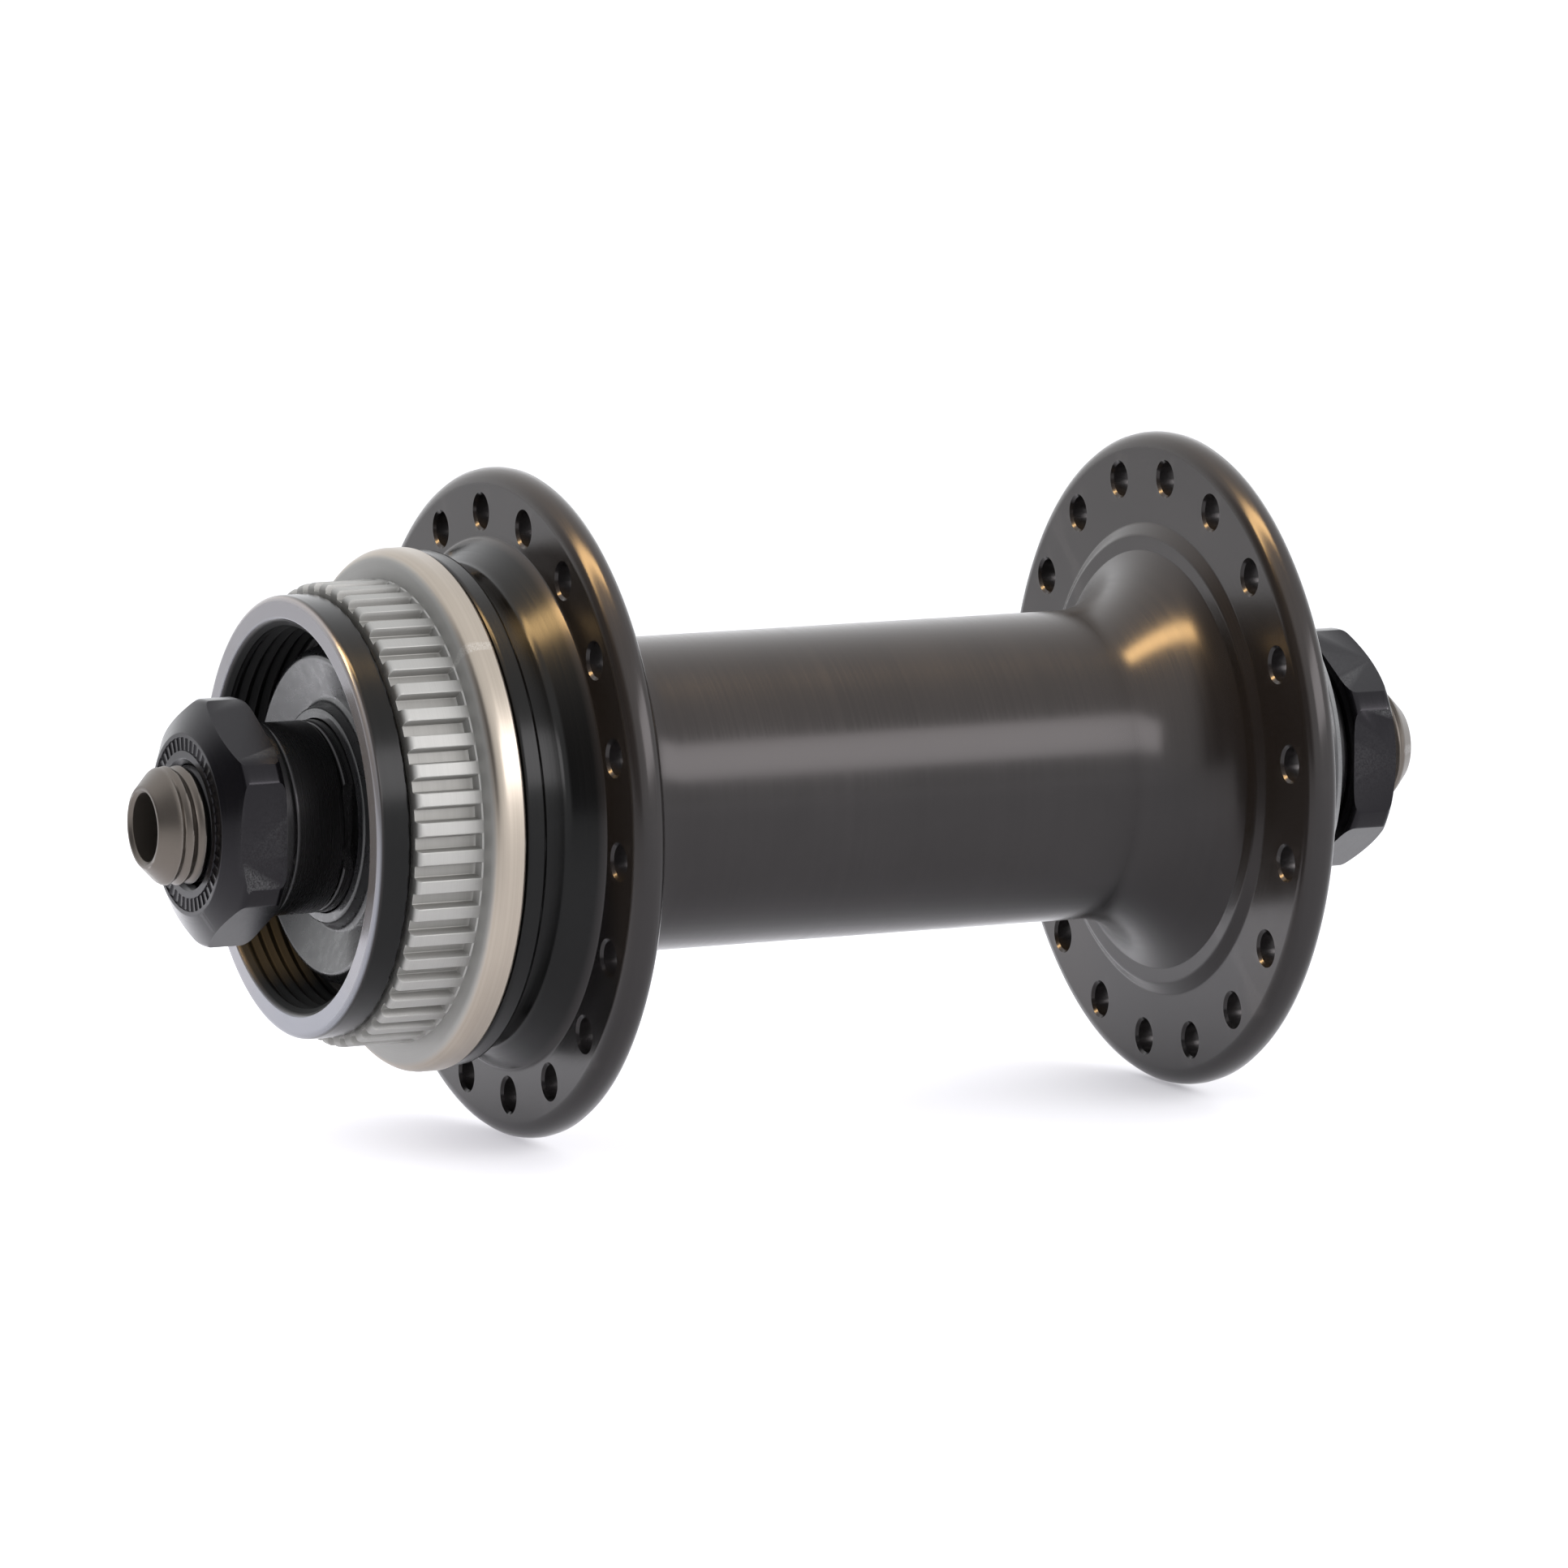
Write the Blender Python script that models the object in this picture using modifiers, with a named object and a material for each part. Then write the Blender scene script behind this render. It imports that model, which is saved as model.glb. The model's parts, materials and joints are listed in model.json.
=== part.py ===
"""Front bicycle hub for a splined disc rotor, built from the pieces it comes apart into.

The axle lies along Y, the disc side faces -Y and +Z is up. The origin is on the axle, midway between
the two locknut faces. Sizes below are in millimetres; the meshes are in metres.
A turned piece is described by points (radius, reach), where reach is its distance along the axle:
along +Y for the shell and the right side's pieces, along -Y for the left side's.
"""

import math

import bmesh
import bpy
from mathutils import Matrix

MM = 0.001
GAP = 0.3
SMALL_CHAMFER = 0.3

# Axle and what is screwed or pushed onto it
LOCKNUT_REACH = 50.0
AXLE_REACH = 53.5
AXLE_RADIUS = 4.5
AXLE_BORE_RADIUS = 2.6
AXLE_CHAMFER = 1.4
LOCKNUT_WIDTH = 4.5
LOCKNUT_ACROSS_FLATS = 17.0
LOCKNUT_CORNER_RADIUS = 9.4
LOCKNUT_FACE_RADIUS = 7.7
LOCKNUT_FRONT_BEVEL = 1.1
LOCKNUT_BACK_BEVEL = 0.4
WASHER_WIDTH = 0.9
WASHER_RADIUS = 7.7
CONE_RADIUS = 7.3
CONE_FLATS = 13.0
CONE_FLAT_LENGTH = 1.2
CONE_BACK = -2.2
CONE_BACK_RADIUS = 5.8
CONE_SHOULDER_START = 3.0
CONE_SHOULDER_END = 3.5
SEAL_WIDTH = 2.1
SEAL_RADIUS = 12.8
SEAL_HUB = 0.8
SEAL_DISH = 0.5
SEAL_RIM = 1.2

# Bearings: ten 3/16 inch balls a side
BALL_RADIUS = 2.38
BALL_COUNT = 10
PITCH_RADIUS = 9.4
LEFT_BALL_REACH = 32.0
RIGHT_BALL_REACH = 35.4
CUP_RADIUS = 13.4
CUP_HOLE_RADIUS = 7.4
CUP_DEPTH = 3.4
CUP_LIP = 2.4
CUP_EDGE = 0.4
CUP_FLOOR = 0.7
CAGE_INNER_RADIUS = 8.75
CAGE_OUTER_RADIUS = 10.05
CAGE_WIDTH = 3.2

# Closing pieces of each bearing, measured outwards from the middle of its balls
CAP_START = 2.7
CAP_END = 4.7
CAP_WALL = 0.8
CAP_LIP = 0.7
SEAL_START = CAP_END + GAP
LEFT_CONE_LENGTH = 7.9

# Shell
BARREL_RADIUS = 12.05
BARREL_BORE_RADIUS = 9.0
FLARE_RADIUS = 8.2
FLARE_ANGLE = math.radians(62)
FLARE_STEPS = 5
FLANGE_STEP = 0.55
FLANGE_STEP_RADIUS = 17.6
FLANGE_STEP_SLOPE = 0.9
FLANGE_RADIUS = 25.6
FLANGE_CHAMFER = 0.9
LEFT_FLANGE = (-24.5, -21.8)
RIGHT_FLANGE = (32.3, 34.9)
RIGHT_BOSS_RADIUS = 15.2
RIGHT_BOSS_REACH = 39.5
RIGHT_BOSS_CHAMFER = 0.5
RIGHT_BOSS_FOOT = 1.2
NECK_RADIUS = 19.6
NECK_GROOVE_RADIUS = 18.4
NECK_TAPER = 2.3
NECK_FOOT = 0.7
NECK_LIP_WIDTH = 1.8
NECK_LIP_SLOPE = 0.4
ROTOR_RING_END = -30.6
COLLAR_RADIUS = 16.8
COLLAR_REACH = -41.6
COLLAR_WIDTH = 2.6
THREAD_BORE_RADIUS = 14.5
THREAD_CHAMFER = 0.6
THREAD_DEPTH = 5.6
SLEEVE_WALL = 0.6

# Spokes
HOLES_PER_FLANGE = 18
HOLE_CIRCLE_RADIUS = 22.25
HOLE_RADIUS = 1.3
LEFT_HOLE_PHASE = 14.0
RIGHT_HOLE_PHASE = 4.0

# Rotor spline ring
SPLINE_COUNT = 50
SPLINE_TIP_RADIUS = 17.6
SPLINE_ROOT_RADIUS = 16.9
SPLINE_END = -33.4
SHOULDER_RADIUS = 19.9
SHOULDER_CHAMFER = 0.9
RING_BORE_RADIUS = 16.2

FINE_STEPS = 54
PLAIN_STEPS = 24
AXLE_STEPS = 24
SHARP_ANGLE = math.radians(32)

# A turned piece stands on its local Z. These turns lay that axis along +Y or -Y.
TO_RIGHT = (math.radians(-90), 0, 0)
TO_LEFT = (math.radians(90), 0, 0)


def clear_scene():
    for obj in list(bpy.data.objects):
        bpy.data.objects.remove(obj)


def new_collection(name):
    collection = bpy.data.collections.new(name)
    bpy.context.scene.collection.children.link(collection)
    return collection


def new_material(name, colour, metallic, roughness):
    material = bpy.data.materials.new(name)
    material.use_nodes = True
    shader = material.node_tree.nodes["Principled BSDF"]
    shader.inputs["Base Color"].default_value = (*colour, 1)
    shader.inputs["Metallic"].default_value = metallic
    shader.inputs["Roughness"].default_value = roughness
    return material


def arc(centre, radius, start, end, segments):
    """Points of an arc in the (radius, reach) plane. Angles are in degrees from the outward direction."""
    points = []
    for step in range(segments + 1):
        angle = math.radians(start + (end - start) * step / segments)
        points.append((centre[0] + radius * math.cos(angle), centre[1] + radius * math.sin(angle)))
    return points


def add_object(name, mesh, material, turn, collection):
    obj = bpy.data.objects.new(name, mesh)
    obj.rotation_euler = turn
    obj.data.materials.append(material)
    collection.objects.link(obj)
    return obj


def turned(name, profile, material, turn, collection, steps=PLAIN_STEPS):
    """Spins a closed profile about the axle. It runs down its outer side first, then up its bore."""
    mesh = bpy.data.meshes.new(name)
    corners = [(radius * MM, 0, reach * MM) for radius, reach in profile]
    edges = [(i, (i + 1) % len(corners)) for i in range(len(corners))]
    mesh.from_pydata(corners, edges, [])
    obj = add_object(name, mesh, material, turn, collection)
    screw = obj.modifiers.new("turn", "SCREW")
    screw.steps = steps
    screw.render_steps = steps
    screw.use_merge_vertices = True
    screw.merge_threshold = 1e-6
    bpy.context.view_layer.update()
    solid = bpy.data.meshes.new_from_object(obj.evaluated_get(bpy.context.evaluated_depsgraph_get()))
    obj.modifiers.remove(screw)
    obj.data = solid
    bpy.data.meshes.remove(mesh)
    solid.name = name
    solid.shade_smooth()
    solid.set_sharp_from_angle(angle=SHARP_ANGLE)
    return obj


def cutter(name, shapes, turn, collection):
    """One helper object from several closed shapes, each a function that adds itself to a bmesh."""
    shape = bmesh.new()
    for add_shape in shapes:
        add_shape(shape)
    mesh = bpy.data.meshes.new(name)
    shape.to_mesh(mesh)
    shape.free()
    obj = bpy.data.objects.new(name, mesh)
    obj.rotation_euler = turn
    obj.hide_render = True
    obj.display_type = "WIRE"
    collection.objects.link(obj)
    return obj


def combine(obj, tool, operation="DIFFERENCE"):
    modifier = obj.modifiers.new(tool.name, "BOOLEAN")
    modifier.operation = operation
    modifier.object = tool


def post(place, radius, length, sides):
    """A cylinder along the local Z, at a place given by a matrix."""
    return lambda shape: bmesh.ops.create_cone(
        shape,
        cap_ends=True,
        segments=sides,
        radius1=radius * MM,
        radius2=radius * MM,
        depth=length * MM,
        matrix=place,
    )


def block(place, size):
    scale = Matrix.Diagonal((size[0] * MM, size[1] * MM, size[2] * MM, 1))
    return lambda shape: bmesh.ops.create_cube(shape, size=1, matrix=place @ scale)


def globe(place, radius):
    return lambda shape: bmesh.ops.create_uvsphere(
        shape, u_segments=10, v_segments=6, radius=radius * MM, matrix=place
    )


def around(angle, radius, reach):
    """A place on a circle about the local Z, turned so that its X points outwards."""
    return Matrix.Rotation(angle, 4, "Z") @ Matrix.Translation((radius * MM, 0, reach * MM))


def shell_profile():
    left_outer, left_inner = LEFT_FLANGE
    right_inner, right_outer = RIGHT_FLANGE
    rim = FLANGE_RADIUS - FLANGE_CHAMFER
    cup_bore = CUP_RADIUS + GAP
    profile = [
        (RIGHT_BOSS_RADIUS - RIGHT_BOSS_CHAMFER, RIGHT_BOSS_REACH),
        (RIGHT_BOSS_RADIUS, RIGHT_BOSS_REACH - RIGHT_BOSS_CHAMFER),
        (RIGHT_BOSS_RADIUS, right_outer + RIGHT_BOSS_FOOT),
        (RIGHT_BOSS_RADIUS + RIGHT_BOSS_FOOT, right_outer),
        (rim, right_outer),
        (FLANGE_RADIUS, right_outer - FLANGE_CHAMFER),
        (FLANGE_RADIUS, right_inner + FLANGE_CHAMFER),
        (rim, right_inner),
        (FLANGE_STEP_RADIUS + FLANGE_STEP_SLOPE, right_inner),
        (FLANGE_STEP_RADIUS, right_inner - FLANGE_STEP),
    ]
    profile += flare(right_inner - FLANGE_STEP, 1)
    profile += reversed(flare(left_inner + FLANGE_STEP, -1))
    profile += [
        (FLANGE_STEP_RADIUS, left_inner + FLANGE_STEP),
        (FLANGE_STEP_RADIUS + FLANGE_STEP_SLOPE, left_inner),
        (rim, left_inner),
        (FLANGE_RADIUS, left_inner - FLANGE_CHAMFER),
        (FLANGE_RADIUS, left_outer + FLANGE_CHAMFER),
        (rim, left_outer),
        (NECK_RADIUS + NECK_FOOT, left_outer),
        (NECK_GROOVE_RADIUS, left_outer - NECK_TAPER),
        (NECK_GROOVE_RADIUS, ROTOR_RING_END + NECK_LIP_WIDTH + NECK_LIP_SLOPE),
        (NECK_RADIUS, ROTOR_RING_END + NECK_LIP_WIDTH),
        (NECK_RADIUS, ROTOR_RING_END),
        (RING_BORE_RADIUS - GAP, ROTOR_RING_END),
        (RING_BORE_RADIUS - GAP, COLLAR_REACH + COLLAR_WIDTH),
        (COLLAR_RADIUS, COLLAR_REACH + COLLAR_WIDTH),
        (COLLAR_RADIUS, COLLAR_REACH + SMALL_CHAMFER),
        (COLLAR_RADIUS - SMALL_CHAMFER, COLLAR_REACH),
        (THREAD_BORE_RADIUS + THREAD_CHAMFER, COLLAR_REACH),
        (THREAD_BORE_RADIUS, COLLAR_REACH + THREAD_CHAMFER),
        (THREAD_BORE_RADIUS, COLLAR_REACH + THREAD_DEPTH),
        (cup_bore, COLLAR_REACH + THREAD_DEPTH),
        (cup_bore, -cup_start(LEFT_BALL_REACH) + GAP),
        (BARREL_BORE_RADIUS, -cup_start(LEFT_BALL_REACH) + GAP),
        (BARREL_BORE_RADIUS, cup_start(RIGHT_BALL_REACH) - GAP),
        (cup_bore, cup_start(RIGHT_BALL_REACH) - GAP),
        (cup_bore, RIGHT_BOSS_REACH),
    ]
    return profile


def flare(end, side):
    """The barrel's widening towards its +Y end (side 1) or -Y end (side -1), from the wide end inwards."""
    points = []
    for step in range(FLARE_STEPS + 1):
        angle = FLARE_ANGLE * (1 - step / FLARE_STEPS)
        radius = BARREL_RADIUS + FLARE_RADIUS * (1 - math.cos(angle))
        reach = end - side * FLARE_RADIUS * (math.sin(FLARE_ANGLE) - math.sin(angle))
        points.append((radius, reach))
    return points


def cup_start(ball_reach):
    return ball_reach - CUP_DEPTH


def cup_profile(ball_reach):
    race = BALL_RADIUS + GAP
    profile = [
        (CUP_RADIUS, ball_reach + CUP_LIP),
        (CUP_RADIUS, cup_start(ball_reach) + CUP_EDGE),
        (CUP_RADIUS - CUP_EDGE, cup_start(ball_reach)),
        (CUP_HOLE_RADIUS, cup_start(ball_reach)),
        (CUP_HOLE_RADIUS, cup_start(ball_reach) + CUP_FLOOR),
    ]
    profile += arc((PITCH_RADIUS, ball_reach), race, 240, 360, 4)
    profile.append((PITCH_RADIUS + race, ball_reach + CUP_LIP))
    return profile


def cone_profile(ball_reach, end_reach):
    race = BALL_RADIUS + GAP
    race_start = arc((PITCH_RADIUS, ball_reach), race, 115, 180, 3)
    shoulder = race_start[0][0]
    bore = AXLE_RADIUS + GAP
    profile = [
        (CONE_RADIUS, end_reach),
        (CONE_RADIUS, ball_reach + CONE_SHOULDER_END),
        (shoulder, ball_reach + CONE_SHOULDER_START),
    ]
    profile += race_start
    profile += [
        (CONE_BACK_RADIUS + 0.5, ball_reach + CONE_BACK + 0.6),
        (CONE_BACK_RADIUS, ball_reach + CONE_BACK),
        (bore, ball_reach + CONE_BACK),
        (bore, end_reach),
    ]
    return profile


def dust_cap_profile(ball_reach):
    lip = CUP_RADIUS - CAP_LIP
    hole = CONE_RADIUS + 0.6
    return [
        (CUP_RADIUS - SMALL_CHAMFER, ball_reach + CAP_END),
        (CUP_RADIUS, ball_reach + CAP_END - SMALL_CHAMFER),
        (CUP_RADIUS, ball_reach + CAP_START),
        (lip, ball_reach + CAP_START),
        (lip, ball_reach + CAP_END - CAP_WALL),
        (hole, ball_reach + CAP_END - CAP_WALL),
        (hole, ball_reach + CAP_END),
    ]


def seal_profile(ball_reach):
    start = ball_reach + SEAL_START
    hole = CONE_RADIUS + GAP
    return [
        (hole + SEAL_HUB, start + SEAL_WIDTH),
        (hole + 2 * SEAL_HUB, start + SEAL_WIDTH - SEAL_DISH),
        (SEAL_RADIUS - SEAL_RIM, start + SEAL_WIDTH - 0.2),
        (SEAL_RADIUS, start + SEAL_WIDTH - 0.8),
        (SEAL_RADIUS, start + SEAL_DISH),
        (SEAL_RADIUS - SEAL_DISH, start),
        (hole, start),
        (hole, start + SEAL_WIDTH),
    ]


def spline_ring_profile():
    """The blank of the rotor ring before its grooves are cut, with the flat that the rotor seats on."""
    spline_start = COLLAR_REACH + COLLAR_WIDTH + GAP
    return [
        (SHOULDER_RADIUS, ROTOR_RING_END - GAP),
        (SHOULDER_RADIUS, SPLINE_END + SHOULDER_CHAMFER),
        (SHOULDER_RADIUS - SHOULDER_CHAMFER, SPLINE_END),
        (SPLINE_TIP_RADIUS, SPLINE_END),
        (SPLINE_TIP_RADIUS, spline_start + SMALL_CHAMFER),
        (SPLINE_TIP_RADIUS - SMALL_CHAMFER, spline_start),
        (RING_BORE_RADIUS, spline_start),
        (RING_BORE_RADIUS, ROTOR_RING_END - GAP),
    ]


def tube_profile(outer, inner, low, high):
    return [(outer, high), (outer, low), (inner, low), (inner, high)]


def chamfered_tube_profile(outer, inner, low, high, chamfer):
    return [
        (outer - chamfer, high),
        (outer, high - chamfer),
        (outer, low + chamfer),
        (outer - chamfer, low),
        (inner, low),
        (inner, high),
    ]


def build_shell(paint, bare, cutters, parts):
    shell = turned("hub_shell", shell_profile(), paint, TO_RIGHT, parts, FINE_STEPS)
    drills = []
    for flange, phase in ((LEFT_FLANGE, LEFT_HOLE_PHASE), (RIGHT_FLANGE, RIGHT_HOLE_PHASE)):
        middle = sum(flange) / 2
        length = flange[1] - flange[0] + 2
        for hole in range(HOLES_PER_FLANGE):
            # In the shell's own frame -Y is up, and a positive phase turns the holes from up towards +X.
            angle = math.radians(phase - 90 + hole * 360 / HOLES_PER_FLANGE)
            drills.append(post(around(angle, HOLE_CIRCLE_RADIUS, middle), HOLE_RADIUS, length, 8))
    combine(shell, cutter("spoke_hole_drills", drills, TO_RIGHT, cutters))

    ring = turned("rotor_spline_ring", spline_ring_profile(), bare, TO_RIGHT, parts, SPLINE_COUNT)
    groove_width = math.pi * SPLINE_TIP_RADIUS / SPLINE_COUNT
    groove_low = COLLAR_REACH
    groove_length = SPLINE_END - 0.2 - groove_low
    grooves = []
    for groove in range(SPLINE_COUNT):
        angle = math.radians((groove + 0.5) * 360 / SPLINE_COUNT)
        place = around(angle, SPLINE_ROOT_RADIUS + 1, groove_low + groove_length / 2)
        grooves.append(block(place, (2, groove_width, groove_length)))
    combine(ring, cutter("spline_grooves", grooves, TO_RIGHT, cutters))


def build_locknut(side, turn, material, cutters, parts):
    inner = LOCKNUT_REACH - LOCKNUT_WIDTH
    bore = AXLE_RADIUS + GAP
    profile = [
        (LOCKNUT_FACE_RADIUS, LOCKNUT_REACH),
        (LOCKNUT_CORNER_RADIUS, LOCKNUT_REACH - LOCKNUT_FRONT_BEVEL),
        (LOCKNUT_CORNER_RADIUS, inner + LOCKNUT_BACK_BEVEL),
        (LOCKNUT_CORNER_RADIUS - LOCKNUT_BACK_BEVEL, inner),
        (bore, inner),
        (bore, LOCKNUT_REACH),
    ]
    nut = turned("locknut_" + side, profile, material, turn, parts)
    corner = LOCKNUT_ACROSS_FLATS / math.sqrt(3)
    place = around(0, 0, LOCKNUT_REACH - LOCKNUT_WIDTH / 2)
    hexagon = cutter("hexagon_" + side, [post(place, corner, LOCKNUT_WIDTH + 2, 6)], turn, cutters)
    combine(nut, hexagon, "INTERSECT")


def build_cone(side, turn, ball_reach, end_reach, material, cutters, parts):
    cone = turned("cone_" + side, cone_profile(ball_reach, end_reach), material, turn, parts)
    flats = []
    for direction in (-1, 1):
        offset = direction * (CONE_FLATS / 2 + 2)
        place = Matrix.Translation((offset * MM, 0, end_reach * MM))
        flats.append(block(place, (4, 20, 2 * CONE_FLAT_LENGTH)))
    combine(cone, cutter("spanner_flats_" + side, flats, turn, cutters))


def build_bearing(side, turn, ball_reach, materials, cutters, parts):
    turned("bearing_cup_" + side, cup_profile(ball_reach), materials["race"], turn, parts)
    turned("dust_cap_" + side, dust_cap_profile(ball_reach), materials["cap"], turn, parts)
    turned("cone_seal_" + side, seal_profile(ball_reach), materials["rubber"], turn, parts)

    cage_low = ball_reach + GAP
    cage_section = tube_profile(CAGE_OUTER_RADIUS, CAGE_INNER_RADIUS, cage_low, cage_low + CAGE_WIDTH)
    cage = turned("ball_cage_" + side, cage_section, materials["cage"], turn, parts)
    places = [
        around(math.radians(number * 360 / BALL_COUNT), PITCH_RADIUS, ball_reach)
        for number in range(BALL_COUNT)
    ]
    pockets = [globe(place, BALL_RADIUS + GAP) for place in places]
    combine(cage, cutter("ball_pockets_" + side, pockets, turn, cutters))

    ball_shape = bmesh.new()
    globe(Matrix.Identity(4), BALL_RADIUS)(ball_shape)
    ball_mesh = bpy.data.meshes.new("ball_" + side)
    ball_shape.to_mesh(ball_mesh)
    ball_shape.free()
    ball_mesh.materials.append(materials["race"])
    ball_mesh.shade_smooth()
    hub_turn = Matrix.Rotation(turn[0], 4, "X")
    for number, place in enumerate(places, start=1):
        ball = bpy.data.objects.new(f"ball_{side}_{number:02d}", ball_mesh)
        ball.matrix_world = hub_turn @ place
        parts.objects.link(ball)


def build_axle_set(materials, cutters, parts):
    axle = chamfered_tube_profile(AXLE_RADIUS, AXLE_BORE_RADIUS, -AXLE_REACH, AXLE_REACH, AXLE_CHAMFER)
    turned("axle", axle, materials["steel"], TO_RIGHT, parts, AXLE_STEPS)

    bore = AXLE_RADIUS + GAP
    washer_end = LOCKNUT_REACH - LOCKNUT_WIDTH - GAP
    washer_start = washer_end - WASHER_WIDTH
    washer = tube_profile(WASHER_RADIUS, bore, washer_start, washer_end)
    left_cone_end = LEFT_BALL_REACH + LEFT_CONE_LENGTH
    spacer = chamfered_tube_profile(CONE_RADIUS, bore, left_cone_end + GAP, washer_start - GAP, SMALL_CHAMFER)
    turned("spacer_left", spacer, materials["steel"], TO_LEFT, parts)

    cone_ends = {"left": left_cone_end, "right": washer_start - GAP}
    for side, turn, ball_reach in sides():
        turned("lock_washer_" + side, washer, materials["steel"], turn, parts)
        build_locknut(side, turn, materials["nut"], cutters, parts)
        build_cone(side, turn, ball_reach, cone_ends[side], materials["steel"], cutters, parts)


def sides():
    return (("left", TO_LEFT, LEFT_BALL_REACH), ("right", TO_RIGHT, RIGHT_BALL_REACH))


def main():
    clear_scene()
    parts = new_collection("front_hub")
    cutters = new_collection("cutters")
    materials = {
        "paint": new_material("shell_black", (0.028, 0.026, 0.025), 0.7, 0.32),
        "bare": new_material("bare_aluminium", (0.72, 0.70, 0.66), 1.0, 0.3),
        "steel": new_material("dark_steel", (0.05, 0.05, 0.055), 0.9, 0.35),
        "nut": new_material("black_nut", (0.03, 0.03, 0.033), 0.8, 0.3),
        "race": new_material("bearing_steel", (0.62, 0.62, 0.64), 1.0, 0.12),
        "cage": new_material("pressed_cage", (0.45, 0.42, 0.36), 1.0, 0.3),
        "cap": new_material("dust_cap_black", (0.04, 0.04, 0.045), 0.6, 0.3),
        "rubber": new_material("seal_rubber", (0.02, 0.02, 0.02), 0.0, 0.6),
        "sleeve": new_material("sleeve_plastic", (0.75, 0.75, 0.72), 0.0, 0.5),
    }
    build_shell(materials["paint"], materials["bare"], cutters, parts)
    for side, turn, ball_reach in sides():
        build_bearing(side, turn, ball_reach, materials, cutters, parts)
    build_axle_set(materials, cutters, parts)

    sleeve_outer = BARREL_BORE_RADIUS - GAP
    sleeve_low = -cup_start(LEFT_BALL_REACH) + 2 * GAP
    sleeve_high = cup_start(RIGHT_BALL_REACH) - 2 * GAP
    sleeve = tube_profile(sleeve_outer, sleeve_outer - SLEEVE_WALL, sleeve_low, sleeve_high)
    turned("grease_sleeve", sleeve, materials["sleeve"], TO_RIGHT, parts)


main()
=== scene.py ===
"""The looks of a front bicycle hub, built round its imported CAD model.

The axle lies along Y with the disc side towards -Y. Sizes are in millimetres and meshes in metres.
Every visible piece is turned about the axle from a profile of (radius, reach, rounding) corners, where
reach is measured along +Y for the shell, and outwards along the axle for the pieces that come in pairs.
"""
import json
import math

import bmesh
import bpy
from mathutils import Matrix, Vector


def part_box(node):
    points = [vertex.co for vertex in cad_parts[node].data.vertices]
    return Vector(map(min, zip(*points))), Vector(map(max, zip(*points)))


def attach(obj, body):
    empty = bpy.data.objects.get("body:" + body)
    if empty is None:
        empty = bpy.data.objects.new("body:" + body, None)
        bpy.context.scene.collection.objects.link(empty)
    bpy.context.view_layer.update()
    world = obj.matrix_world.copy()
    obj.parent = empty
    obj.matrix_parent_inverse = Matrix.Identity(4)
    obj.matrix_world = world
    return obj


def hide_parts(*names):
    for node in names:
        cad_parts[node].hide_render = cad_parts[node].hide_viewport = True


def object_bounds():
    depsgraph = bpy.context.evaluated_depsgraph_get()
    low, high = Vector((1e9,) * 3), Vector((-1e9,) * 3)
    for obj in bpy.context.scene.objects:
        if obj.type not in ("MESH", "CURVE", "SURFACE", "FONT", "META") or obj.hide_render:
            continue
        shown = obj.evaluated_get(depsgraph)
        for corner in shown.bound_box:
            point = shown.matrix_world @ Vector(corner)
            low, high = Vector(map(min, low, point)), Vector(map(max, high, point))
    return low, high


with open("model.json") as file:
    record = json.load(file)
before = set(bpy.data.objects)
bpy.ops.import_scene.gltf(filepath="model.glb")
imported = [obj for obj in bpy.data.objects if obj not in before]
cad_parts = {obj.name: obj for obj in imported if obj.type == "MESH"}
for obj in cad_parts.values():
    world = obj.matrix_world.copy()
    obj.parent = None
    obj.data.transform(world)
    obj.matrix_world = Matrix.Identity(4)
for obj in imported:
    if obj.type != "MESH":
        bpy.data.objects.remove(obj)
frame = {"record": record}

MM = 0.001
SUPPORT = 0.1
cad_low, cad_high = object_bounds()


def cad_size(node):
    """A CAD node's lowest and highest place along the axle, and its radius, in millimetres."""
    low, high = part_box(node)
    return low.y / MM, high.y / MM, high.x / MM


# Places and sizes read from the CAD model
COLLAR_FACE, BOSS_FACE, FLANGE_RADIUS = cad_size("hub_shell")
RING_FRONT, RING_BACK, SHOULDER_RADIUS = cad_size("rotor_spline_ring")
AXLE_REACH, AXLE_RADIUS = cad_size("axle")[1:]
MOUNTS = {mount["name"]: mount for mount in frame["record"]["mounts"]}
SEAT_FACE = MOUNTS["rotor_seat"]["pos_m"][1] / MM
LEFT_FLANGE_FACE = MOUNTS["left_flange_face"]["pos_m"][1] / MM
RIGHT_FLANGE_FACE = MOUNTS["right_flange_face"]["pos_m"][1] / MM
LOCKNUT_REACH = MOUNTS["right_locknut_face"]["pos_m"][1] / MM

# Shell
FLANGE_WIDTH = 2.65
FLANGE_ROUNDING = 1.2
BARREL_RADIUS = 12.05
FLARE_RADIUS = 8.2
FLARE_ANGLE = math.radians(62)
FLANGE_STEP_RADIUS = 17.6
FLANGE_STEP = 0.55
FLANGE_STEP_SLOPE = 0.9
BARREL_BORE_RADIUS = 9.0
SLEEVE_WALL = 0.6
BOSS_RADIUS = 15.2
NECK_RADIUS = 19.6
NECK_GROOVE_RADIUS = 18.4
COLLAR_RADIUS = 16.8
COLLAR_WIDTH = 2.6
COLLAR_BORE_RADIUS = 14.5
COLLAR_MOUTH = 0.6
COLLAR_THREAD_END = -36.2
CUP_BORE_RADIUS = 13.7
BOSS_GROOVE = (2.3, 2.5, 2.9, 3.1)
BOSS_GROOVE_DEPTH = 0.35
NECK_FOOT = 0.7
NECK_TAPER = 2.3
NECK_GROOVE_LENGTH = 2.0
RING_GAP = 0.15
CUP_GAP = 0.25

# Threads
THREAD_PITCH = 1.0
THREAD_DEPTH = 0.34
AXLE_THREAD_DEPTH = 0.32
AXLE_THREAD_LENGTH = 9.0

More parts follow.
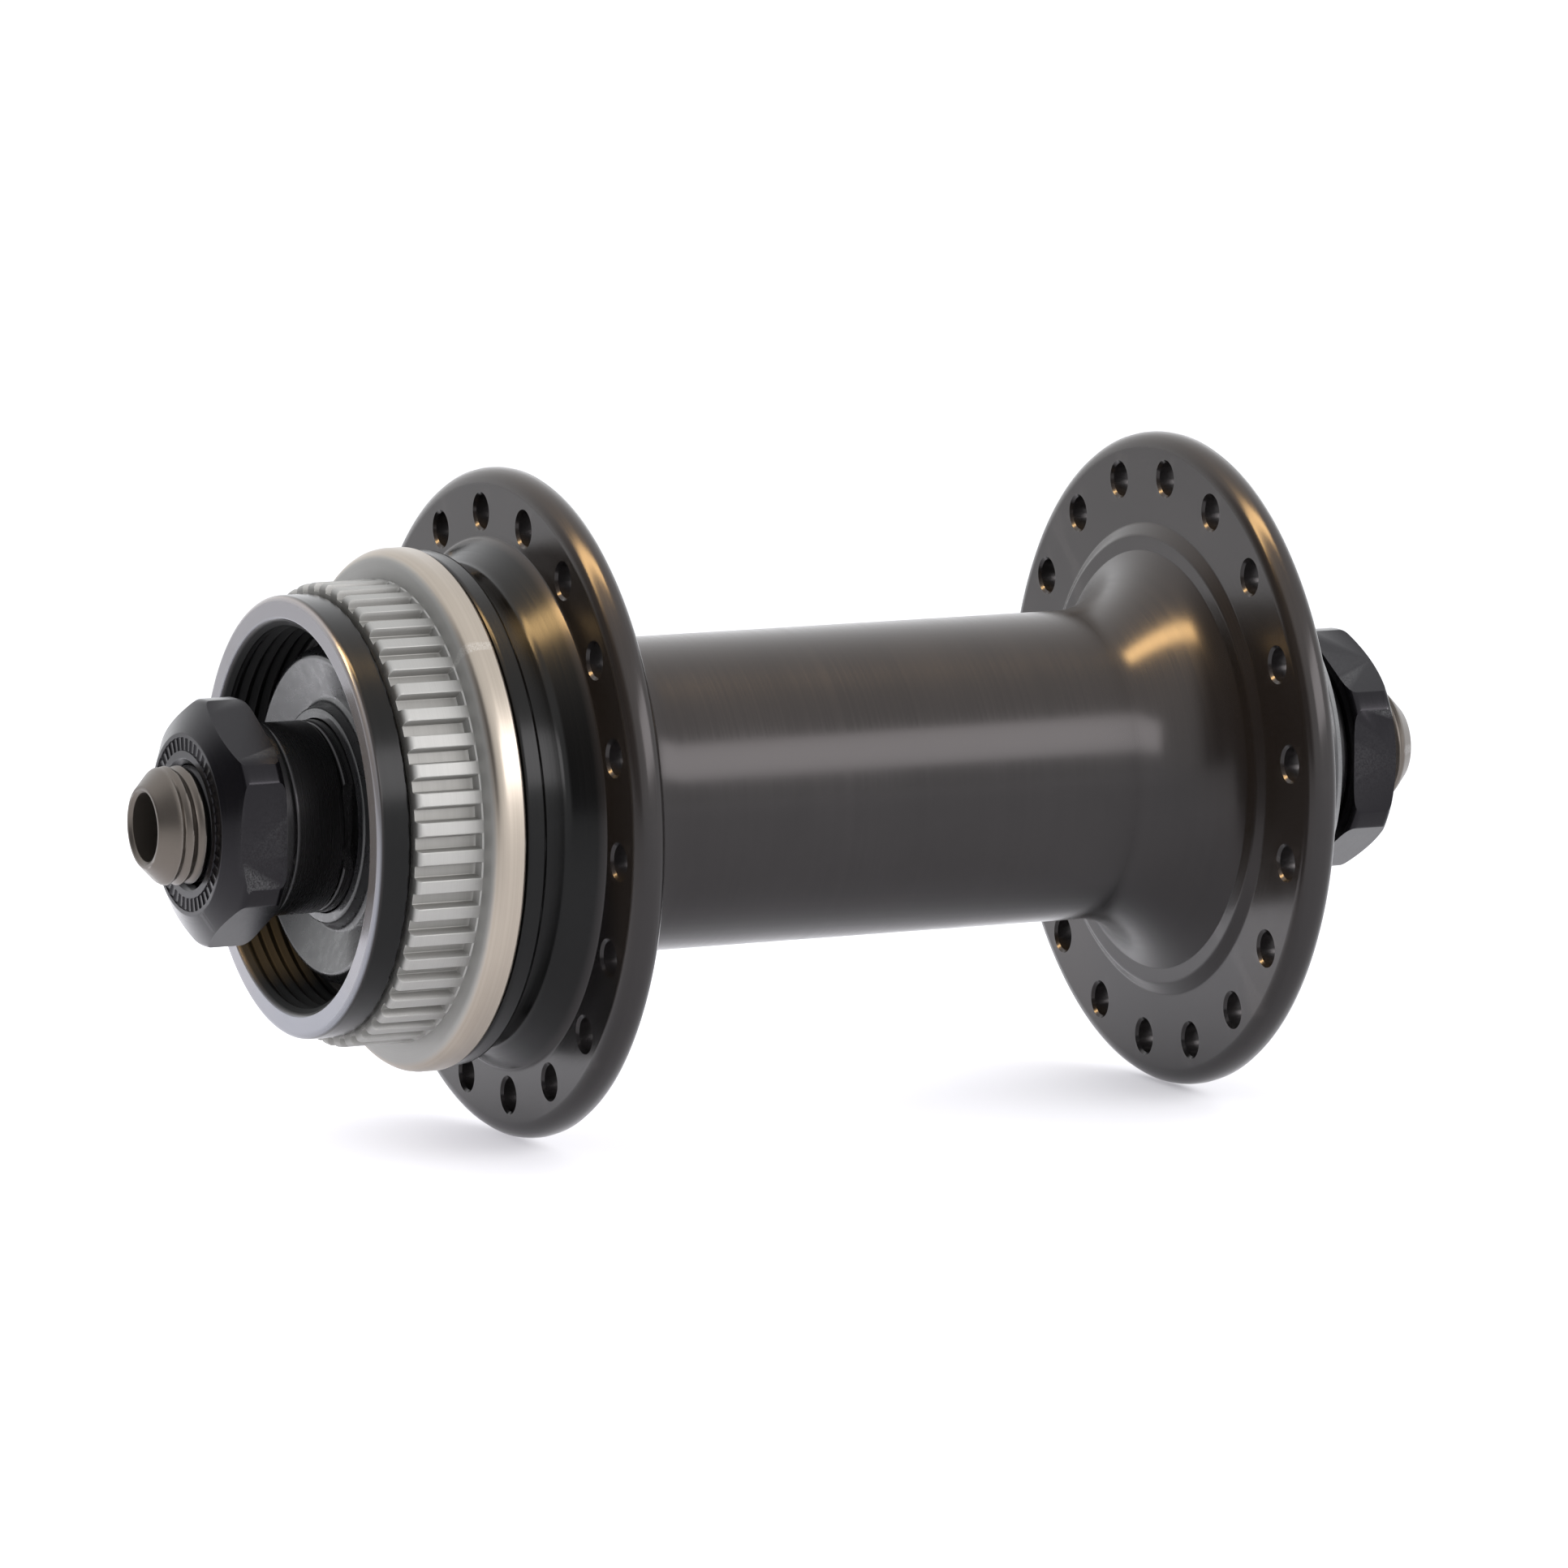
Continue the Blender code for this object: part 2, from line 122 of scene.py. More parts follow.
# Spoke holes
HOLES_PER_FLANGE = 18
HOLE_CIRCLE_RADIUS = 22.25
HOLE_RADIUS = 1.3
COUNTERSINK_RADIUS = 1.5
COUNTERSINK_DEPTH = 0.22
LEFT_HOLE_PHASE = 14.0
RIGHT_HOLE_PHASE = 4.0

# Rotor ring
SPLINE_COUNT = 50
SPLINE_TIP_RADIUS = 17.6
SPLINE_ROOT_RADIUS = 16.92
RING_BORE_RADIUS = 16.1

# Nut, cone and axle
LOCKNUT_WIDTH = 4.5
LOCKNUT_ACROSS_FLATS = 17.0
LOCKNUT_CORNER_RADIUS = 9.4
LOCKNUT_FACE_RADIUS = 6.9
LOCKNUT_BEVEL = 1.35
LOCKNUT_MOUTH = 0.45
LOCKNUT_EDGE = 0.35
SERRATIONS = 48
SERRATION_DEPTH = 0.1
SERRATED_RING = (5.6, LOCKNUT_FACE_RADIUS - 0.35)
CONE_RADIUS = 7.3
CONE_FLATS = 13.0
CONE_FLAT_LENGTH = 1.3
CONE_SHOULDER = 3.0
CONE_DEPTH = 2.2
CONE_BACK_RADIUS = 5.9
AXLE_BORE_RADIUS = 2.6
AXLE_CHAMFER = 1.4
AXLE_BORE_CHAMFER = 0.25
THREADED_HOLE = AXLE_RADIUS + 0.05

# Seal and dust cap
SEAL_HUB = 0.9
SEAL_DISH = 1.2
SEAL_DISH_DEPTH = 1.3
SEAL_RIM = 0.7
DUST_CAP_GROWTH = 0.2
DUST_CAP_WALL = 0.7
DUST_CAP_HOLE = 0.5

# Bearing
BALL_RADIUS = 2.38
BALL_COUNT = 10
PITCH_RADIUS = 9.4
RACE_GAP = 0.12
CUP_DEPTH = 3.4
CUP_LIP = 2.4
CUP_FLOOR = 0.7
CUP_HOLE_RADIUS = 7.4
CAGE_INNER_RADIUS = 8.75
CAGE_OUTER_RADIUS = 10.05
CAGE_GAP = 0.2
CAGE_START = 0.3
CAGE_END = 3.4


# ---------------------------------------------------------------- mesh tools

def rounded(corners, segments=4):
    """Profile points with each (radius, reach, rounding) corner turned into an arc.

    A point just before and after each arc keeps the straight runs flat when shaded smooth.
    """
    points = []
    for index, (radius, reach, rounding) in enumerate(corners):
        here = Vector((radius, reach))
        before = Vector(corners[index - 1][:2]) - here
        after = Vector(corners[(index + 1) % len(corners)][:2]) - here
        angle = before.angle(after)
        if rounding <= 0 or angle > math.radians(176):
            points.append((radius, reach))
            continue
        reach_back = min(rounding / math.tan(angle / 2), before.length * 0.49, after.length * 0.49)
        arc_radius = reach_back * math.tan(angle / 2)
        middle = (before.normalized() + after.normalized()).normalized()
        centre = here + middle * (arc_radius / math.sin(angle / 2))
        start = here + before.normalized() * reach_back - centre
        end = here + after.normalized() * reach_back - centre
        turn = start.angle_signed(end)
        steps = segments if rounding < 2 else segments * 5
        if before.length > 2 * (reach_back + SUPPORT):
            points.append(tuple(here + before.normalized() * (reach_back + SUPPORT)))
        for step in range(steps + 1):
            swing = Matrix.Rotation(-turn * step / steps, 2)
            points.append(tuple(centre + swing @ start))
        if after.length > 2 * (reach_back + SUPPORT):
            points.append(tuple(here + after.normalized() * (reach_back + SUPPORT)))
    return points


def split_run(points, radius, low, high, spacing):
    """Adds points along a straight run at one radius, only between two places along the axle."""
    result = []
    for index, point in enumerate(points):
        result.append(point)
        following = points[(index + 1) % len(points)]
        if abs(point[0] - radius) > 1e-3 or abs(following[0] - radius) > 1e-3:
            continue
        start, end = point[1], following[1]
        direction = math.copysign(1, end - start)
        stops = [low + spacing * step for step in range(int((high - low) / spacing) + 1)]
        stops = [stop for stop in stops if min(start, end) < stop < max(start, end)]
        for stop in sorted(stops, key=lambda place: place * direction):
            result.append((radius, stop))
    return result


def even_angles(count):
    return [2 * math.pi * index / count for index in range(count)]


def lathe(name, points, angles=None, side=1, change=None):
    """Turns a closed profile about the axle. change(radius, reach, angle) may move each point."""
    angles = angles or even_angles(192)
    shape = bmesh.new()
    columns = []
    for angle in angles:
        column = []
        for radius, reach in points:
            if change:
                radius, reach = change(radius, reach, angle)
            place = Vector((radius * math.sin(angle), side * reach, radius * math.cos(angle)))
            column.append(shape.verts.new(place * MM))
        columns.append(column)
    rows = len(points)
    for index, column in enumerate(columns):
        neighbour = columns[(index + 1) % len(columns)]
        for row in range(rows):
            following = (row + 1) % rows
            shape.faces.new((column[row], column[following], neighbour[following], neighbour[row]))
    bmesh.ops.recalc_face_normals(shape, faces=shape.faces)
    return new_object(name, shape)


def new_object(name, shape):
    mesh = bpy.data.meshes.new(name)
    shape.to_mesh(mesh)
    shape.free()
    obj = bpy.data.objects.new(name, mesh)
    bpy.context.scene.collection.objects.link(obj)
    return obj


def boolean(obj, tool, operation):
    """Cuts obj with tool, keeps the result as its mesh and removes the tool."""
    modifier = obj.modifiers.new("cut", "BOOLEAN")
    modifier.operation = operation
    modifier.object = tool
    bpy.context.view_layer.update()
    graph = bpy.context.evaluated_depsgraph_get()
    result = bpy.data.meshes.new_from_object(obj.evaluated_get(graph))
    obj.modifiers.clear()
    obj.data = result
    result.name = obj.name
    bpy.data.objects.remove(tool)


def shade(obj, degrees=32):
    obj.data.shade_smooth()
    obj.data.set_sharp_from_angle(angle=math.radians(degrees))


def thread(low, high, nominal, depth, inward):
    """A change for lathe: a V thread between two places, fading out at both ends."""
    def change(radius, reach, angle):
        if not (low < reach < high and abs(radius - nominal) < 0.02):
            return radius, reach
        fade = min(1.0, (reach - low) / 0.5, (high - reach) / 0.5)
        turn = (reach - THREAD_PITCH * angle / (2 * math.pi)) / THREAD_PITCH % 1.0
        ridge = min(1.0, max(0.0, 1.25 * abs(2 * turn - 1) - 0.1))
        return radius + (1 if inward else -1) * depth * fade * ridge, reach
    return change


def dress(obj, node, body, material, sharp=32):
    """Finishes a piece that stands for one CAD node."""
    shade(obj, sharp)
    obj.data.materials.clear()
    obj.data.materials.append(MATERIALS[material])
    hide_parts(node)
    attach(obj, body)


# ---------------------------------------------------------------- materials

# Half the width over which one finish fades into the next
ZONE_EDGE = 0.1

# Colours that cover only part of a piece: finishes, and painted shade in recesses and between parts
TURNED_FRONT = (0.22, 0.225, 0.25, 1)
# Painted shade: the thread inside the collar's bore is coloured darker than the black shell
BORE_SHADE_BLACK = (0.006, 0.006, 0.006, 1)
# Painted shade on the neck between the rotor ring and the left flange; the band round the collar's
# outside is coloured the same darker black
NECK_SHADE_AND_BAND_BLACK = (0.004, 0.004, 0.004, 1)
SPLINE_TIPS = (0.39, 0.385, 0.37, 1)
# Painted shade in the grooves between the splines
GROOVE_SHADE = (0.24, 0.235, 0.22, 1)
RUBBED_STUB = (0.12, 0.104, 0.09, 1)
PALE_WEAR = (0.5, 0.49, 0.47)
DARK_WEAR = (0.2, 0.2, 0.2)


class Graph:
    """A small helper that adds shader nodes and links them."""

    def __init__(self, name):
        self.material = bpy.data.materials.new(name)
        self.material.use_nodes = True
        self.tree = self.material.node_tree
        self.shader = self.tree.nodes["Principled BSDF"]

    def put(self, socket, value):
        if isinstance(value, bpy.types.NodeSocket):
            self.tree.links.new(value, socket)
        else:
            socket.default_value = value

    def node(self, kind, inputs=(), **settings):
        made = self.tree.nodes.new(kind)
        for key, value in settings.items():
            setattr(made, key, value)
        for key, value in dict(inputs).items():
            self.put(made.inputs[key], value)
        return made

    def math(self, operation, *values):
        inputs = dict(enumerate(values))
        return self.node("ShaderNodeMath", inputs, operation=operation).outputs[0]

    def ramp(self, value, low, high, to_low=0.0, to_high=1.0):
        inputs = {0: value, 1: low, 2: high, 3: to_low, 4: to_high}
        return self.node("ShaderNodeMapRange", inputs, clamp=True).outputs[0]

    def above(self, value, limit):
        return self.ramp(value, limit - ZONE_EDGE, limit + ZONE_EDGE)

    def below(self, value, limit):
        return self.ramp(value, limit - ZONE_EDGE, limit + ZONE_EDGE, 1.0, 0.0)

    def noise(self, vector, scale, detail=2.0, rough=0.5):
        inputs = {"Vector": vector, "Scale": scale, "Detail": detail, "Roughness": rough}
        return self.node("ShaderNodeTexNoise", inputs).outputs[0]

    def blend(self, share, first, second):
        made = self.node("ShaderNodeMix", data_type="RGBA")
        self.put(made.inputs[0], share)
        self.put(made.inputs[6], first)
        self.put(made.inputs[7], second)
        return made.outputs[2]

    def places(self):
        """The point on the object in millimetres, its distance from the axle and its place along it."""
        coords = self.node("ShaderNodeTexCoord").outputs["Object"]
        scaled = self.node("ShaderNodeVectorMath", {0: coords, "Scale": 1 / MM}, operation="SCALE")
        parts = self.node("ShaderNodeSeparateXYZ", {0: scaled.outputs[0]})
        across = self.math("MULTIPLY", parts.outputs[0], parts.outputs[0])
        up = self.math("MULTIPLY", parts.outputs[2], parts.outputs[2])
        radius = self.math("SQRT", self.math("ADD", across, up))
        return scaled.outputs[0], radius, parts.outputs[1]


def metal(name, colour, roughness, metallic, marks, grain, wear, wear_colour, zones=None):
    """A machined or plated metal: turning marks, fine grain, patchy handling and edges worn brighter."""
    graph = Graph(name)
    point, radius, along = graph.places()
    rings = graph.node("ShaderNodeCombineXYZ", {0: along, 1: radius, 2: 0.0}).outputs[0]
    coarse = graph.noise(rings, 1.7, 2.0)
    fine = graph.noise(rings, 7.0, 2.0)
    speckle = graph.noise(point, 9.0, 3.0, 0.6)
    patches = graph.noise(point, 0.13, 2.0)

    edge = graph.node("ShaderNodeNewGeometry").outputs["Pointiness"]
    worn = graph.ramp(edge, 0.53, 0.60)
    worn = graph.math("MULTIPLY", worn, graph.ramp(speckle, 0.35, 0.62))
    worn = graph.math("MULTIPLY", worn, wear)

    tone = graph.ramp(patches, 0.3, 0.7, 0.94, 1.05)
    tone = graph.math("MULTIPLY", tone, graph.ramp(fine, 0.3, 0.7, 0.95, 1.05))
    base = graph.node("ShaderNodeVectorMath", {0: colour, "Scale": tone}, operation="SCALE").outputs[0]
    rough = graph.ramp(patches, 0.28, 0.72, roughness * 0.92, roughness * 1.1)
    rough = graph.math("ADD", rough, graph.ramp(fine, 0.3, 0.7, -0.02, 0.03))
    if zones:
        base, rough = zones(graph, radius, along, base, rough)
    base = graph.blend(worn, base, (*wear_colour, 1))

    height = graph.math("MULTIPLY", graph.math("ADD", coarse, fine), marks)
    height = graph.math("ADD", height, graph.math("MULTIPLY", speckle, grain))
    bump = graph.node("ShaderNodeBump", {"Strength": 0.35, "Distance": 0.03 * MM, "Height": height})
    graph.put(graph.shader.inputs["Base Color"], base)
    graph.put(graph.shader.inputs["Roughness"], rough)
    graph.put(graph.shader.inputs["Metallic"], metallic)
    graph.put(graph.shader.inputs["Normal"], bump.outputs[0])
    return graph.material


def shell_zones(graph, radius, along, base, rough):
    """The collar's front is turned bare. Its thread is rougher and painted darker as shade in the bore,
    the neck between the ring and the left flange is painted black as shade, and the band round the
    collar's outside gets the same darker black.
    """
    front = graph.ramp(along, COLLAR_FACE + 0.12, COLLAR_FACE + 0.3, 1.0, 0.0)
    mouth = COLLAR_BORE_RADIUS + COLLAR_MOUTH
    bare = graph.math("MULTIPLY", front, graph.ramp(radius, mouth - 0.1, mouth + 0.05))
    base = graph.blend(bare, base, TURNED_FRONT)
    threaded = graph.below(along, COLLAR_THREAD_END)
    inside = graph.ramp(radius, mouth - 0.3, mouth - 0.1, 1.0, 0.0)
    threaded = graph.math("MULTIPLY", threaded, inside)
    # Painted shade: the thread in the collar's bore is darkened, and also made rougher
    base = graph.blend(threaded, base, BORE_SHADE_BLACK)
    rough = graph.math("ADD", rough, graph.math("MULTIPLY", threaded, 0.5))
    neck_end = graph.ramp(along, LEFT_FLANGE_FACE - 0.6, LEFT_FLANGE_FACE - 0.1, 1.0, 0.0)
    neck = graph.math("MULTIPLY", neck_end, graph.above(along, RING_BACK))
    collar = graph.math("MULTIPLY", graph.below(along, COLLAR_FACE + COLLAR_WIDTH),
                        graph.ramp(radius, COLLAR_RADIUS - 0.3, COLLAR_RADIUS - 0.1))
    behind_front = graph.ramp(along, COLLAR_FACE + 0.3, COLLAR_FACE + 0.5)
    collar = graph.math("MULTIPLY", collar, behind_front)
    # Painted shade: the neck is darkened, and the band round the collar's outside with it
    base = graph.blend(graph.math("MAXIMUM", neck, collar), base, NECK_SHADE_AND_BAND_BLACK)
    return base, rough


def spline_zones(graph, radius, along, base, rough):
    """The grooves between the splines are painted darker as shade, and the shoulder is smoother than the
    splines.
    """
    groove = graph.ramp(radius, SPLINE_ROOT_RADIUS, SPLINE_TIP_RADIUS - 0.15, 1.0, 0.0)
    splined = graph.ramp(along, SEAT_FACE + 0.05, SEAT_FACE + 0.25, 1.0, 0.0)
    groove_shade = graph.math("MULTIPLY", graph.math("MULTIPLY", groove, splined), 0.72)
    base = graph.blend(splined, base, SPLINE_TIPS)
    # Painted shade: darker colour down in the spline grooves
    base = graph.blend(groove_shade, base, GROOVE_SHADE)
    rough = graph.math("ADD", rough, graph.math("MULTIPLY", splined, 0.30))
    return base, rough


def steel_zones(graph, radius, along, base, rough):
    """Outside the locknuts the fork has rubbed the axle's finish to a paler brown."""
    reach = graph.math("ABSOLUTE", along)
    stub = graph.ramp(reach, LOCKNUT_REACH, LOCKNUT_REACH + 0.4)
    base = graph.blend(stub, base, RUBBED_STUB)
    rough = graph.math("ADD", rough, graph.math("MULTIPLY", stub, 0.08))
    return base, rough


def soft_material(name, colour, roughness, bump_scale, bump_strength, coat=0.0):
    """Rubber or plastic: no metal, a fine moulded grain and slightly patchy shine."""
    graph = Graph(name)
    point = graph.places()[0]
    patches = graph.noise(point, 0.3, 3.0)
    grain = graph.noise(point, bump_scale, 3.0, 0.6)
    tone = graph.ramp(patches, 0.3, 0.7, 0.8, 1.2)
    base = graph.node("ShaderNodeVectorMath", {0: colour, "Scale": tone}, operation="SCALE").outputs[0]
    rough = graph.ramp(grain, 0.3, 0.7, roughness - 0.08, roughness + 0.08)
    inputs = {"Strength": bump_strength, "Distance": 0.05 * MM, "Height": grain}
    bump = graph.node("ShaderNodeBump", inputs)
    graph.put(graph.shader.inputs["Base Color"], base)
    graph.put(graph.shader.inputs["Roughness"], rough)
    graph.put(graph.shader.inputs["Normal"], bump.outputs[0])
    graph.put(graph.shader.inputs["Coat Weight"], coat)
    graph.put(graph.shader.inputs["Coat Roughness"], 0.15)
    return graph.material


MATERIALS = {
    "shell_black": metal("shell_black", (0.027, 0.0245, 0.0245), 0.21, 0.65, 0.08, 0.04, 0.15,
                         (0.14, 0.13, 0.13), shell_zones),
    # Partly painted reflection: the ring's bare aluminium is tinted warm beige, standing in for a warm
    # reflection on the shoulder; the splines get their own colour
    "bare_aluminium": metal("bare_aluminium", (0.37, 0.325, 0.275), 0.32, 1.0, 0.10, 0.05, 0.2,
                            (0.92, 0.90, 0.86), spline_zones),
    "dark_steel": metal("dark_steel", (0.034, 0.033, 0.034), 0.26, 0.85, 0.2, 0.15, 0.3,
                        PALE_WEAR, steel_zones),
    "black_nut": metal("black_nut", (0.011, 0.010, 0.012), 0.22, 0.75, 0.15, 0.15, 0.25, DARK_WEAR),
    "bearing_steel": metal("bearing_steel", (0.66, 0.66, 0.68), 0.10, 1.0, 0.05, 0.03, 0.1,
                           (0.8, 0.8, 0.8)),
    "pressed_cage": metal("pressed_cage", (0.50, 0.46, 0.38), 0.28, 1.0, 0.05, 0.3, 0.3, PALE_WEAR),
    "dust_cap_black": metal("dust_cap_black", (0.035, 0.035, 0.038), 0.26, 0.8, 0.15, 0.1, 0.2,
                            DARK_WEAR),
    "seal_rubber": soft_material("seal_rubber", (0.012, 0.012, 0.013), 0.30, 1.2, 0.004, coat=0.4),
    "sleeve_plastic": soft_material("sleeve_plastic", (0.78, 0.78, 0.74), 0.42, 3.0, 0.15),
}


# ---------------------------------------------------------------- shell and rotor ring

def flare(end, side):
    """The barrel's widening at its +Y end (side 1) or -Y end (side -1), from the wide end inwards."""
    steps = 18
    corners = []
    for step in range(steps + 1):
        angle = FLARE_ANGLE * (1 - step / steps)
        radius = BARREL_RADIUS + FLARE_RADIUS * (1 - math.cos(angle))
        reach = end - side * FLARE_RADIUS * (math.sin(FLARE_ANGLE) - math.sin(angle))
        corners.append((radius, reach, 0.12 if step == 0 else 0))
    return corners


def cup_end(side, row):
    """How far out along the axle a cup's end lies. row picks its box's low or high corner."""
    return abs(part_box("bearing_cup_" + side)[row].y) / MM


def shell_corners():
    left_inner = LEFT_FLANGE_FACE + FLANGE_WIDTH
    right_inner = RIGHT_FLANGE_FACE - FLANGE_WIDTH
    left_step = left_inner + FLANGE_STEP
    right_step = right_inner - FLANGE_STEP
    groove_end = RING_BACK + NECK_GROOVE_LENGTH
    ring_bore = RING_BORE_RADIUS - 0.1
    # A row of points just inside the spoke holes keeps the wear round each hole from spreading inwards
    hole_row = HOLE_CIRCLE_RADIUS - COUNTERSINK_RADIUS - 0.15
    left_cup = CUP_GAP - cup_end("left", 1)
    right_cup = cup_end("right", 0) - CUP_GAP
    boss_groove = BOSS_RADIUS - BOSS_GROOVE_DEPTH
    return [
        (BOSS_RADIUS, BOSS_FACE, 0.4),
        (BOSS_RADIUS, BOSS_FACE - BOSS_GROOVE[0], 0.1),
        (boss_groove, BOSS_FACE - BOSS_GROOVE[1], 0.1),
        (boss_groove, BOSS_FACE - BOSS_GROOVE[2], 0.1),
        (BOSS_RADIUS, BOSS_FACE - BOSS_GROOVE[3], 0.1),
        (BOSS_RADIUS, RIGHT_FLANGE_FACE, 1.2),
        (hole_row, RIGHT_FLANGE_FACE, 0),
        (FLANGE_RADIUS, RIGHT_FLANGE_FACE, FLANGE_ROUNDING),
        (FLANGE_RADIUS, right_inner, FLANGE_ROUNDING),
        (hole_row, right_inner, 0),
        (FLANGE_STEP_RADIUS + FLANGE_STEP_SLOPE, right_inner, 0.35),
        (FLANGE_STEP_RADIUS, right_step, 0.5),
        *flare(right_step, 1),
        *reversed(flare(left_step, -1)),
        (FLANGE_STEP_RADIUS, left_step, 0.5),
        (FLANGE_STEP_RADIUS + FLANGE_STEP_SLOPE, left_inner, 0.35),
        (hole_row, left_inner, 0),
        (FLANGE_RADIUS, left_inner, FLANGE_ROUNDING),
        (FLANGE_RADIUS, LEFT_FLANGE_FACE, FLANGE_ROUNDING),
        (hole_row, LEFT_FLANGE_FACE, 0),
        (NECK_RADIUS + NECK_FOOT, LEFT_FLANGE_FACE, 0.3),
        (NECK_GROOVE_RADIUS, LEFT_FLANGE_FACE - NECK_TAPER, 0.9),
        (NECK_GROOVE_RADIUS, groove_end, 0.3),
        (NECK_RADIUS, groove_end - 0.2, 0.35),
        (NECK_RADIUS, RING_BACK + RING_GAP, 0.3),
        (ring_bore, RING_BACK + RING_GAP, 0),
        (ring_bore, COLLAR_FACE + COLLAR_WIDTH, 0.1),
        (COLLAR_RADIUS, COLLAR_FACE + COLLAR_WIDTH, 0.2),
        (COLLAR_RADIUS, COLLAR_FACE, 0.45),
        (COLLAR_BORE_RADIUS + COLLAR_MOUTH, COLLAR_FACE, 0.15),
        (COLLAR_BORE_RADIUS, COLLAR_FACE + COLLAR_MOUTH, 0.1),
        (COLLAR_BORE_RADIUS, COLLAR_THREAD_END, 0),
        (CUP_BORE_RADIUS, COLLAR_THREAD_END + 0.4, 0.1),
        (CUP_BORE_RADIUS, left_cup, 0.3),
        (BARREL_BORE_RADIUS, left_cup, 0.4),
        (BARREL_BORE_RADIUS, right_cup, 0.4),
        (CUP_BORE_RADIUS, right_cup, 0.3),
        (CUP_BORE_RADIUS, BOSS_FACE - 0.3, 0),
        (CUP_BORE_RADIUS + 0.3, BOSS_FACE, 0),
    ]


def add_drill(shape, angle, face_low, face_high):
    """A spoke hole's cutter: a straight drill that widens to a countersink at both faces."""
    over = 1.0
    steps = [
        (COUNTERSINK_RADIUS + over * 0.9, face_low - over),
        (COUNTERSINK_RADIUS, face_low),
        (HOLE_RADIUS, face_low + COUNTERSINK_DEPTH),
        (HOLE_RADIUS, face_high - COUNTERSINK_DEPTH),
        (COUNTERSINK_RADIUS, face_high),
        (COUNTERSINK_RADIUS + over * 0.9, face_high + over),
    ]
    centre = Vector((math.sin(angle), 0, math.cos(angle))) * HOLE_CIRCLE_RADIUS
    rings = []
    for radius, reach in steps:
        ring = []
        for turn in even_angles(28):
            offset = Vector((radius * math.sin(turn), reach, radius * math.cos(turn)))
            ring.append(shape.verts.new((centre + offset) * MM))
        rings.append(ring)
    for first, second in zip(rings, rings[1:]):
        for index in range(len(first)):
            following = (index + 1) % len(first)
            shape.faces.new((first[index], first[following], second[following], second[index]))
    shape.faces.new(rings[0])
    shape.faces.new(rings[-1])


def build_shell():
    points = rounded(shell_corners())
    thread_start = COLLAR_FACE + COLLAR_MOUTH
    points = split_run(points, COLLAR_BORE_RADIUS, thread_start, COLLAR_THREAD_END, 0.11)
    cut_thread = thread(thread_start, COLLAR_THREAD_END, COLLAR_BORE_RADIUS, THREAD_DEPTH, True)
    shell = lathe("hub_shell_visual", points, change=cut_thread)
    drills = bmesh.new()
    flanges = (
        (LEFT_FLANGE_FACE, LEFT_FLANGE_FACE + FLANGE_WIDTH, LEFT_HOLE_PHASE),
        (RIGHT_FLANGE_FACE - FLANGE_WIDTH, RIGHT_FLANGE_FACE, RIGHT_HOLE_PHASE),
    )
    for face_low, face_high, phase in flanges:
        for hole in range(HOLES_PER_FLANGE):
            angle = math.radians(phase + hole * 360 / HOLES_PER_FLANGE)
            add_drill(drills, angle, face_low, face_high)
    bmesh.ops.recalc_face_normals(drills, faces=drills.faces)
    boolean(shell, new_object("drills", drills), "DIFFERENCE")
    dress(shell, "hub_shell", "shell", "shell_black", 28)


def spline_shape():
    """Angles round the ring, and how full the tooth is at each: 1 on a tip, 0 in a groove."""
    half = [(0.0, 1.0), (0.12, 1.0), (0.20, 1.0), (0.225, 0.95), (0.243, 0.78), (0.262, 0.5),
            (0.282, 0.2), (0.30, 0.05), (0.325, 0.0), (0.41, 0.0), (0.5, 0.0)]
    tooth = [(-place, fill) for place, fill in reversed(half[1:-1])] + half
    angles = []
    fills = {}
    for number in range(SPLINE_COUNT):
        for place, fill in tooth:
            angle = (number + place) * 2 * math.pi / SPLINE_COUNT
            angles.append(angle)
            fills[angle] = fill
    return angles, fills


def build_rotor_ring():
    groove_end = SEAT_FACE - 0.1
    runout = 0.4
    corners = [
        (SHOULDER_RADIUS, RING_BACK, 0.3),
        (SHOULDER_RADIUS, SEAT_FACE, 1.3),
        (SPLINE_TIP_RADIUS, SEAT_FACE, 0),
        (SPLINE_TIP_RADIUS, RING_FRONT, 0.45),
        (RING_BORE_RADIUS, RING_FRONT, 0),
        (RING_BORE_RADIUS, RING_BACK, 0),
    ]
    points = rounded(corners, 5)
    points = split_run(points, SPLINE_TIP_RADIUS, RING_FRONT, SEAT_FACE, 0.14)
    angles, fills = spline_shape()

    def change(radius, reach, angle):
        if reach > groove_end or radius < SPLINE_ROOT_RADIUS:
            return radius, reach
        lift = max(0.0, (reach - groove_end + runout) / runout)
        fill = max(fills[angle], lift * lift)
        limit = SPLINE_ROOT_RADIUS + (SPLINE_TIP_RADIUS - SPLINE_ROOT_RADIUS) * fill
        return min(radius, limit), reach

    ring = lathe("rotor_spline_ring_visual", points, angles, change=change)
    dress(ring, "rotor_spline_ring", "shell", "bare_aluminium", 30)


# ---------------------------------------------------------------- bearings

def arc(centre, radius, start, end, segments=16):
    """The sharp corners of a race, with its angles in degrees from the outward direction."""
    corners = []
    for step in range(segments + 1):
        angle = math.radians(start + (end - start) * step / segments)
        corners.append((centre[0] + radius * math.cos(angle), centre[1] + radius * math.sin(angle), 0))
    return corners


